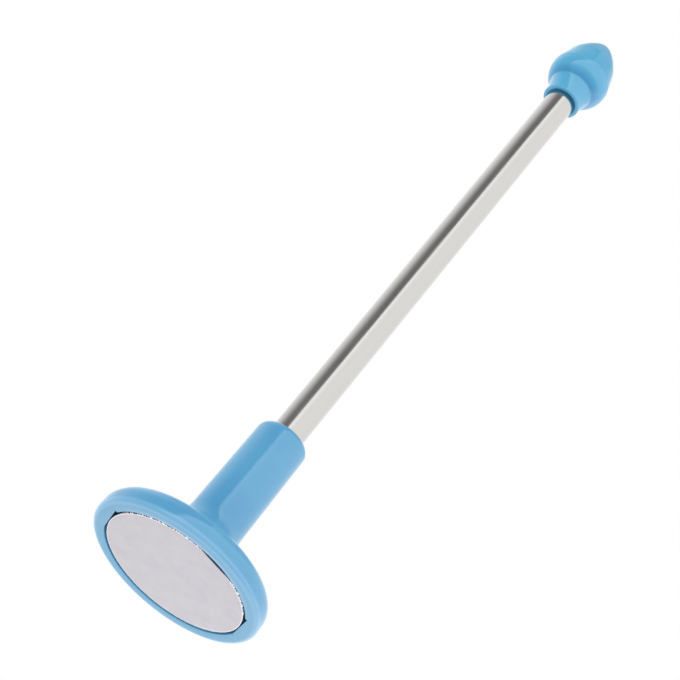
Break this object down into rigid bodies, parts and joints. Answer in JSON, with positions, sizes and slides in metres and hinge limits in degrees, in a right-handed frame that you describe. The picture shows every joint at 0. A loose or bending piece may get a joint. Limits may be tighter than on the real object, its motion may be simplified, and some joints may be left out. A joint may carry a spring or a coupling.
{
  "type": "telescopic magnetic pickup tool",
  "caption": "Pen-like telescopic pickup tool: round magnet head on a tubular neck, nested sliding steel tubes and a pointed plastic knob that pulls the tubes out.",
  "frame": {"origin": "centre of the rim of the head, on which the tool stands", "axes": "+Z along the tubes from the head to the knob; X through the two flats of the magnet recess"},
  "size_m": [0.0432, 0.0432, 0.2014],
  "materials": {
    "blue_plastic": "gloss",
    "nickel_plate": "satin",
    "ferrite": "matte",
    "zinc_steel": "satin",
    "brass": "satin",
    "stainless": "polished",
    "spring_bronze": "satin"
  },
  "bodies": {
    "head": {"head_shell": "blue_plastic", "face_plate": "nickel_plate", "magnet": "ferrite", "backing_plate": "zinc_steel", "head_screw": "zinc_steel", "tube_plug": "brass", "outer_tube": "stainless"},
    "second_clips": {"second_friction_clip_a": "spring_bronze", "second_friction_clip_b": "spring_bronze"},
    "second_section": {"second_tube": "stainless", "second_foot_ring": "brass"},
    "third_clips": {"third_friction_clip_a": "spring_bronze", "third_friction_clip_b": "spring_bronze"},
    "third_section": {"third_tube": "stainless", "third_foot_ring": "brass"},
    "inner_clips": {"inner_friction_clip_a": "spring_bronze", "inner_friction_clip_b": "spring_bronze"},
    "knob_section": {"inner_tube": "stainless", "inner_foot_ring": "brass", "knob_stud": "brass", "knob": "blue_plastic"}
  },
  "joints": [
    {"name": "second_slide", "type": "slide", "parent": "head", "child": "second_clips", "axis": [0, 0, 1], "range_m": [0, 0.1465]},
    {"name": "second_spin", "type": "hinge", "parent": "second_clips", "child": "second_section", "pos_m": [0, 0, 0], "axis": [0, 0, 1], "continuous": true},
    {"name": "third_slide", "type": "slide", "parent": "second_section", "child": "third_clips", "axis": [0, 0, 1], "range_m": [0, 0.148]},
    {"name": "third_spin", "type": "hinge", "parent": "third_clips", "child": "third_section", "pos_m": [0, 0, 0], "axis": [0, 0, 1], "continuous": true},
    {"name": "inner_slide", "type": "slide", "parent": "third_section", "child": "inner_clips", "axis": [0, 0, 1], "range_m": [0, 0.1495]},
    {"name": "inner_spin", "type": "hinge", "parent": "inner_clips", "child": "knob_section", "pos_m": [0, 0, 0], "axis": [0, 0, 1], "continuous": true}
  ]
}
